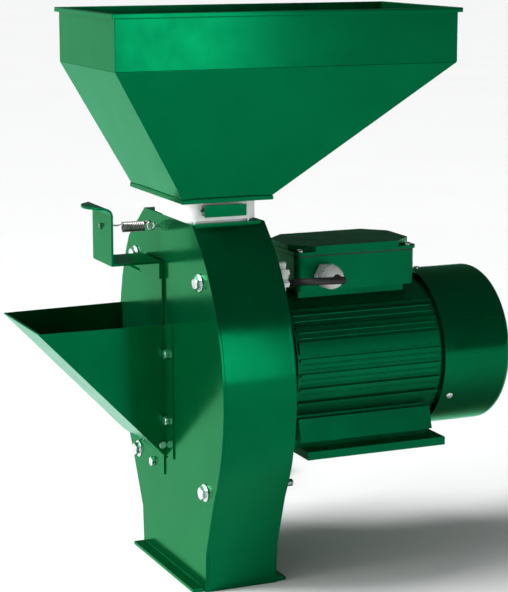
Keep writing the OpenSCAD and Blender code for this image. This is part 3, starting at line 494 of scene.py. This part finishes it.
# The coil's radii, height and rise in millimetres, and the angles in degrees between which it changes
ENTRY_R, OUTER_R, EXIT_WIDER = 54.45, 50, 3.8
LOWEST, EXIT_RISE = 4, 6
SETTLED = 325
STEP_IN, CLIMB, STEP_OUT = (560, 604), (876, 920), (1218, 1262)
EXIT_RISES_FROM, EXIT_WIDENS_FROM = 1395, 1405
PLUG_AT = Vector((0.187, 0.275, 0.018))
PLUG_TURN = math.radians(66)


def ease(angle, first, last):
    """0 up to the first angle, 1 from the last, and smooth between them."""
    t = min(max((angle - first) / (last - first), 0), 1)
    return t * t * (3 - 2 * t)


def coil_point(angle):
    """The lead winds in beside itself, climbs a layer, and winds out again to the plug."""
    lead_mm = LEAD_D / MM
    radius = (ENTRY_R - (ENTRY_R - OUTER_R) * ease(angle, COIL_FIRST, SETTLED)
              - lead_mm * ease(angle, *STEP_IN) + lead_mm * ease(angle, *STEP_OUT)
              + EXIT_WIDER * ease(angle, EXIT_WIDENS_FROM, COIL_LAST))
    height = (LOWEST + lead_mm * ease(angle, *CLIMB)
              + EXIT_RISE * ease(angle, EXIT_RISES_FROM, COIL_LAST))
    a = math.radians(angle)
    return Vector((COIL_AT.x + radius * MM * math.cos(a), COIL_AT.y + radius * MM * math.sin(a), height * MM))


def lead_path():
    route = curved([Vector(p) * MM for p in ROUTE], 4)
    turn = (COIL_LAST - COIL_FIRST) / COIL_STEPS
    return route[:-1] + [coil_point(COIL_FIRST + turn * i) for i in range(COIL_STEPS + 1)]


def make_lead():
    path = lead_path()
    curve = bpy.data.curves.new("lead", "CURVE")
    curve.dimensions = "3D"
    curve.bevel_depth = LEAD_D / 2
    curve.bevel_resolution = 5
    curve.use_fill_caps = True
    spline = curve.splines.new("POLY")
    spline.points.add(len(path) - 1)
    for point, place in zip(spline.points, path):
        point.co = (*place, 1)
    spline.use_smooth = True
    curve.materials.append(MATERIALS["black_rubber"])
    lead = bpy.data.objects.new("lead", curve)
    bpy.context.scene.collection.objects.link(lead)
    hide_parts("power_lead", "lead_coil")
    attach(lead, "mill")
    plug, relief = make_plug()


def make_plug():
    """A moulded plug with a grip, two pins, and a ribbed relief that tapers to the lead."""
    away = Vector((math.cos(PLUG_TURN), math.sin(PLUG_TURN), 0))
    frame_of_plug = place_along(PLUG_AT, away)
    # The plug's outline, as (distance from the relief, radius) in millimetres
    outline = [(0, 9), (2, 12), (8, 12.6), (14, 13.2), (20, 16.5), (24, 17.8), (31, 17.8), (33.4, 17),
               (34, 15.5)]

    def grip(r, depth):
        flat = 0.10 if depth < 20 else 0.0
        return lambda a: r * MM * (1 - flat * abs(math.sin(a)) ** 3)

    body = skin([ring(grip(r, z), z * MM, 48) for z, r in outline])
    pins = []
    for side in (-9.5, 9.5):
        pin = skin([ring(2.4 * MM, 33 * MM, 20), ring(2.4 * MM, 51.4 * MM, 20), ring(2.1 * MM, 52.6 * MM, 20),
                    ring(1.2 * MM, 53 * MM, 20)])
        pins.append(moved(pin, frame_of_plug @ Matrix.Translation((0, side * MM, 0))))
    plug = piece("plug_body", [moved(body, frame_of_plug)], "black_rubber", "mill", ["lead_plug"], SHADE)
    piece("plug_pins", pins, "zinc", "mill", shade=SHADE)
    ribs, length, count = [], 34.0, 34
    for i in range(count + 1):
        z = length * i / count
        groove = 0.55 if 5 < z < 29 and i % 4 < 2 else 0
        ribs.append(ring((9 - 4 * z / length - groove) * MM, -z * MM, 28))
    relief = piece("plug_strain_relief", [moved(skin(ribs[::-1]), frame_of_plug)], "black_rubber", "mill",
                   ["plug_relief"], SHADE)
    return plug, relief


# ---- fasteners ----
def centres(name, axis, near):
    """Where the separate solids of a node stand across an axis, found from points beyond near."""
    across = [i for i in range(3) if i != axis]
    groups = []
    for v in nodes[name].data.vertices:
        place = [v.co[i] for i in across]
        for group in groups:
            if math.dist(group[0], place) < near:
                group.append(place)
                break
        else:
            groups.append([place])
    found = []
    for group in groups:
        low = [min(p[i] for p in group) for i in (0, 1)]
        high = [max(p[i] for p in group) for i in (0, 1)]
        found.append([(a + b) / 2 for a, b in zip(low, high)])
    return found


TO_FEED, TO_MOTOR, UP = (-1, 0, 0), (1, 0, 0), (0, 0, 1)
# Radii of each thread's hexagon corners and shank, and of its nut's bore
M8 = {"corner": 0.0075, "shank": 0.004}
M6 = {"corner": 0.0055, "shank": 0.003}
M4 = {"corner": 0.004, "shank": 0.002}
M8_BORE, M4_BORE = 0.0041, 0.0021
WASHER_R, WASHER_T = 0.0095, 0.0016
COVER_NUT_T = 0.0065
CHUTE_HEAD = 0.004
GATE_HEAD, GATE_NUT_T, GATE_TIP = 0.003, 0.0035, 0.0015
FLANGE_HEAD = 0.0055
LID_HEAD = 0.0026
FAN_SCREW_ANGLES = (88, 208, 328)
FAN_SCREW = {"radius": 0.004, "head": 0.002, "shank": 0.002, "length": 0.0118}


def make_fasteners():
    make_cover_bolts()
    make_cover_nuts()
    make_chute_bolts()
    make_gate_bolts()
    make_flange_bolts()
    make_lid_screws()
    make_fan_screws()


def zinc_piece(name, parts, replaced):
    piece(name, parts, "zinc", "mill", [replaced], SHADE)


def make_cover_bolts():
    low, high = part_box("cover_bolts")
    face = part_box("cover_washers")[0].x
    bolt = hex_bolt(**M8, head=face - low.x, length=high.x - face, thread=0.016)
    places = centres("cover_bolts", 0, 0.02)
    zinc_piece("cover_hex_bolts", [moved(bolt, place_along((face, y, z), TO_FEED)) for y, z in places],
               "cover_bolts")


def make_cover_nuts():
    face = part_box("cover_nuts")[0].x
    washer = skin([ring(M8_BORE, 0), ring(WASHER_R, 0), ring(WASHER_R, WASHER_T - 0.0002),
                   ring(WASHER_R - 0.0003, WASHER_T), ring(M8_BORE, WASHER_T)], looped=True)
    nut = hex_nut(M8["corner"], COVER_NUT_T, M8_BORE)
    made = []
    for y, z in centres("cover_nuts", 0, 0.025):
        made.append(moved(washer, place_along((face, y, z), TO_MOTOR)))
        made.append(moved(nut, place_along((face + WASHER_T, y, z), TO_MOTOR)))
    zinc_piece("cover_hex_nuts", made, "cover_nuts")


def make_chute_bolts():
    low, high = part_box("chute_bolts")
    bolt = hex_bolt(**M6, head=CHUTE_HEAD, length=high.x - low.x - CHUTE_HEAD, thread=0.006, pitch=0.0010)
    places = centres("chute_bolts", 0, 0.015)
    zinc_piece("chute_hex_bolts",
               [moved(bolt, place_along((low.x + CHUTE_HEAD, y, z), TO_FEED)) for y, z in places],
               "chute_bolts")


def make_gate_bolts():
    low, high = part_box("gate_bolts")
    bolt = hex_bolt(**M4, head=GATE_HEAD, length=high.z - GATE_HEAD - low.z, thread=0.008, pitch=0.0007)
    nut = hex_nut(M4["corner"], GATE_NUT_T, M4_BORE)
    made = []
    for x, y in centres("gate_bolts", 2, 0.015):
        made.append(moved(bolt, place_along((x, y, high.z - GATE_HEAD), UP)))
        made.append(moved(nut, place_along((x, y, low.z + GATE_TIP), UP)))
    zinc_piece("gate_hex_bolts", made, "gate_bolts")


def make_flange_bolts():
    low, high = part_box("flange_bolts")
    bolt = hex_bolt(**M8, head=FLANGE_HEAD, length=high.x - low.x - FLANGE_HEAD, thread=0.01)
    nut = hex_nut(M8["corner"], FLANGE_HEAD, M8_BORE)
    made = []
    for y, z in centres("flange_bolts", 0, 0.02):
        made.append(moved(bolt, place_along((high.x - FLANGE_HEAD, y, z), TO_MOTOR)))
        made.append(moved(nut, place_along((low.x, y, z), TO_MOTOR)))
    zinc_piece("flange_hex_bolts", made, "flange_bolts")


def make_lid_screws():
    low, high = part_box("lid_screws")
    screw = cross_screw(0.004, LID_HEAD, 0.002, high.z - low.z - LID_HEAD)
    places = centres("lid_screws", 2, 0.02)
    zinc_piece("lid_cross_screws",
               [moved(screw, place_along((x, y, high.z - LID_HEAD), UP)) for x, y in places], "lid_screws")


def make_fan_screws():
    low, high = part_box("fan_cover_screws")
    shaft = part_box("motor_shaft")
    middle = Vector(((low.x + high.x) / 2, 0, (shaft[0].z + shaft[1].z) / 2))
    made = []
    for angle in FAN_SCREW_ANGLES:
        out = Vector((0, math.cos(math.radians(angle)), math.sin(math.radians(angle))))
        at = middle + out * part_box("fan_cover")[1].y
        made.append(moved(cross_screw(**FAN_SCREW), place_along(at, out)))
    zinc_piece("fan_cover_cross_screws", made, "fan_cover_screws")


# ---- gland, spring and welds ----
def make_gland():
    """A dome nut with a fluted grip, a smooth dome and a rubber seal round the lead."""
    low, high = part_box("gland_nut")
    at = Vector(((low.x + high.x) / 2, high.y, (low.z + high.z) / 2))
    inward = place_along(at, (0, -1, 0))
    flutes = 18

    def fluted(r, depth):
        return lambda a: (r - depth * max(0, math.cos(flutes * a)) ** 2) * MM

    # The nut's outline from the box outwards, as (distance, radius, flute depth) in millimetres
    outline = [(0, 12.2, 0), (0.6, 13, 0.9), (10.4, 13, 0.9), (11, 12.4, 0.3), (11.6, 11.9, 0),
               (12.4, 12.2, 0), (14.5, 11.6, 0), (17, 10.6, 0), (19.5, 8.9, 0), (21.6, 7.2, 0),
               (22.6, 6.2, 0), (22.8, 5.6, 0), (21.0, 4.9, 0), (20.4, 4.2, 0), (0, 4.2, 0)]
    dome = skin([ring(fluted(r, d), z * MM, 108) for z, r, d in outline], looped=True)
    piece("gland_dome_nut", [moved(dome, inward)], "white_plastic", "mill", ["gland_nut"], SHADE)
    seal = skin([ring(0.0050, 0.0190, 40), ring(0.0050, 0.0220, 40), ring(0.0044, 0.0226, 40),
                 ring(0.0041, 0.0220, 40), ring(0.0041, 0.0190, 40)], looped=True)
    piece("gland_seal", [moved(seal, inward)], "black_rubber", "mill", shade=SHADE)


SPRING_WIRE, SPRING_R = 0.0009, 0.0050
SPRING_TURNS, TURN_STEPS = 12, 18
# Where the spring's end meets the lever's hole: in from the tongue's tip, past the middle, below the top
HOLE_IN, HOLE_ACROSS, HOLE_BELOW = 0.0227, 0.0005, 0.0230
# Points of the two hooks, from the lever's hole and from the eye
LEVER_HOOK = [(-0.0030, 0.0006, -0.0018), (-0.0034, 0.0, 0.0022), (0.0006, 0.0, 0.0014),
              (0.008, -0.002, 0.0006)]
EYE_HOOK = [(-0.0035, 0.0006, 0.0016), (-0.0003, -0.0022, 0.0024), (0.0026, 0.0, 0.0008),
            (0.0020, 0.0004, -0.0020)]


def make_spring():
    """A close-wound extension spring, hooked in the lever's hole and in the eye on the cover."""
    low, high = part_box("lever_spring")
    eye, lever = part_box("spring_eye"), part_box("flap_lever")
    in_eye = Vector((eye[0].x + 0.0025, (eye[0].y + eye[1].y) / 2, (eye[0].z + eye[1].z) / 2 + 0.0032))
    in_lever = Vector((lever[0].x + HOLE_IN, (lever[0].y + lever[1].y) / 2 + HOLE_ACROSS,
                       lever[1].z - HOLE_BELOW))
    middle_y, middle_z = (low.y + high.y) / 2, (low.z + high.z) / 2
    left = Vector((low.x, middle_y + 0.001, middle_z))
    right = Vector((high.x, middle_y - 0.001, middle_z))
    along = (right - left).normalized()
    side = along.cross(Vector(UP)).normalized()
    up = side.cross(along)
    count = SPRING_TURNS * TURN_STEPS
    coils = []
    for i in range(count + 1):
        a = TURN * i / TURN_STEPS
        coils.append(left.lerp(right, i / count) + SPRING_R * (math.cos(a) * up + math.sin(a) * side))
    first = curved([in_lever + Vector(p) for p in LEVER_HOOK]
                   + [left + Vector((-0.004, 0.001, 0.002)), coils[0]], 5)
    last = curved([coils[-1], right + Vector((0.0022, -0.0010, 0.0026))]
                  + [in_eye + Vector(p) for p in EYE_HOOK], 5)
    spring = piece("extension_spring", [tube(first[:-1] + coils + last[1:], SPRING_WIRE, 8)],
                   "spring_steel", None, ["lever_spring"], SHADE)
    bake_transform(spring)


# Top of the casing's foot, and how far its near and far edges lean out by there
FOOT_TOP, NEAR_LEAN, FAR_LEAN = 0.043, -0.0025, 0.003
# How far the hopper's rim stands out, and how far inside the band's outer faces its beads run
RIM_OUT, BEADS_IN = 0.004, 0.0022


def casing_weld_lines():
    """The foot's upright corners, and the base flanges along their length."""
    cover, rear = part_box("front_cover"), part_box("rear_plate")
    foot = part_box("base_flanges")
    lines = []
    for x in (cover[0].x + 0.003, rear[1].x - 0.004):
        for y, lean in ((foot[0].y - 0.003, NEAR_LEAN), (foot[1].y + 0.002, FAR_LEAN)):
            lines.append(((x, y, 0.002), (x, y + lean, FOOT_TOP), 0.0013))
    for x in (cover[0].x, rear[1].x):
        lines.append(((x, foot[0].y + 0.004, 0.0042), (x, foot[1].y - 0.004, 0.0042), 0.0014))
    return lines


def hopper_weld_lines():
    """Round the hopper's flange, and up the inside corners of its band."""
    flange, band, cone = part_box("hopper_flange"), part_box("hopper_band"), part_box("hopper_cone")
    corners = [(flange[i].x - 0.0008 * (2 * i - 1), flange[j].y - 0.0008 * (2 * j - 1), flange[1].z + 0.0005)
               for i, j in ((0, 0), (1, 0), (1, 1), (0, 1))]
    lines = [(corners[k], corners[(k + 1) % 4], 0.0012) for k in range(4)]
    inset = RIM_OUT + BEADS_IN
    for i in (0, 1):
        for j in (0, 1):
            x = band[i].x - inset * (2 * i - 1)
            y = band[j].y - inset * (2 * j - 1)
            lines.append(((x, y, cone[1].z + 0.002), (x, y, band[1].z - 0.004), 0.0011))
    return lines


def make_welds():
    """Beads where the sheets are joined, each drawn from its own seed."""
    seed = 1
    for name, lines in (("casing_weld_beads", casing_weld_lines()),
                        ("hopper_weld_beads", hopper_weld_lines())):
        beads = [weld_bead(start, end, radius, seed + i) for i, (start, end, radius) in enumerate(lines)]
        seed += len(lines)
        piece(name, beads, "sheet_green", "mill", shade=SHADE)


# The motor's barrel and fins, as in the CAD model; FIN_MIDDLE is fin 0's height over the shaft's axis
BARREL_R = 0.083
FIN_PITCH = 0.0165
LOWEST_FIN, HIGHEST_FIN = -2, 4
FIN_MIDDLE = -0.002
RIDGE_R = 0.0011


def make_barrel_ribs():
    """Two low ridges on the motor's barrel between each two of its tall fins."""
    frame_box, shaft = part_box("motor_frame"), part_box("motor_shaft")
    axis_z = (shaft[0].z + shaft[1].z) / 2
    ribs = []
    for side in (-1, 1):
        for i in range(LOWEST_FIN, HIGHEST_FIN):
            for part in (1 / 3, 2 / 3):
                height = FIN_MIDDLE + (i + part) * FIN_PITCH
                y = side * (math.sqrt(BARREL_R ** 2 - height ** 2) - 0.0004)
                z = axis_z + height
                ends = [(frame_box[0].x + 0.004, y, z), (frame_box[1].x - 0.004, y, z)]
                ribs.append(tube(ends, RIDGE_R, 7))
    piece("barrel_ridges", ribs, "cast_green", "mill", shade=SHADE)


# ---- floor and light ----
FLOOR_REACH = 40.0
SKY_BRIGHT, SKY_DIM = 1.05, 0.10
LIGHTS_AIM = (0.05, 0, 0.3)


def make_floor():
    mesh = bpy.data.meshes.new("floor")
    corners = [(x * FLOOR_REACH, y * FLOOR_REACH, 0) for x, y in ((-1, -1), (1, -1), (1, 1), (-1, 1))]
    mesh.from_pydata(corners, [], [(0, 1, 2, 3)])
    mesh.materials.append(material("floor", (0.84, 0.84, 0.84), 0.7, vary=0.01, patch=2.0, bump=0.01))
    floor = bpy.data.objects.new("floor", mesh)
    bpy.context.scene.collection.objects.link(floor)


def make_light(name, place, size, height, watts):
    """A soft rectangular lamp that faces the mill."""
    data = bpy.data.lights.new(name, "AREA")
    data.shape = "RECTANGLE"
    data.size = size
    data.size_y = height
    data.energy = watts
    lamp = bpy.data.objects.new(name, data)
    lamp.location = place
    lamp.rotation_mode = "QUATERNION"
    lamp.rotation_quaternion = (Vector(LIGHTS_AIM) - Vector(place)).to_track_quat("-Z", "Y")
    bpy.context.scene.collection.objects.link(lamp)


def make_sun(name, from_way, strength, angle):
    data = bpy.data.lights.new(name, "SUN")
    data.energy = strength
    data.angle = math.radians(angle)
    lamp = bpy.data.objects.new(name, data)
    lamp.rotation_mode = "QUATERNION"
    lamp.rotation_quaternion = Vector(from_way).to_track_quat("Z", "Y")
    bpy.context.scene.collection.objects.link(lamp)


def make_world():
    """A studio that is bright on the feed side and dim everywhere else."""
    world = bpy.data.worlds.new("studio")
    world.use_nodes = True
    tree = world.node_tree
    sky = tree.nodes["Background"]
    sky.inputs["Color"].default_value = (0.93, 0.96, 0.95, 1)
    place = tree.nodes.new("ShaderNodeTexCoord")
    parts = tree.nodes.new("ShaderNodeSeparateXYZ")
    tree.links.new(place.outputs["Generated"], parts.inputs["Vector"])
    feed_side = spread(tree, parts.outputs["X"], SKY_BRIGHT, SKY_DIM, -0.95, -0.05)
    tree.links.new(feed_side, sky.inputs["Strength"])
    bpy.context.scene.world = world
    bpy.context.scene.view_settings.view_transform = "Standard"


def make_lights():
    make_world()
    make_sun("room", (-0.66, 0.22, 0.74), strength=3.9, angle=30)
    make_light("key", (-2.4, -0.1, 1.1), size=1.2, height=1.6, watts=36)
    make_light("side", (0.9, -2.6, 0.8), size=0.35, height=1.2, watts=7)


make_camera()
MATERIALS = make_materials()
SHADE = finish_nodes(MATERIALS)
make_lead()
make_gland()
make_spring()
make_fasteners()
make_welds()
make_barrel_ribs()
make_floor()
make_lights()
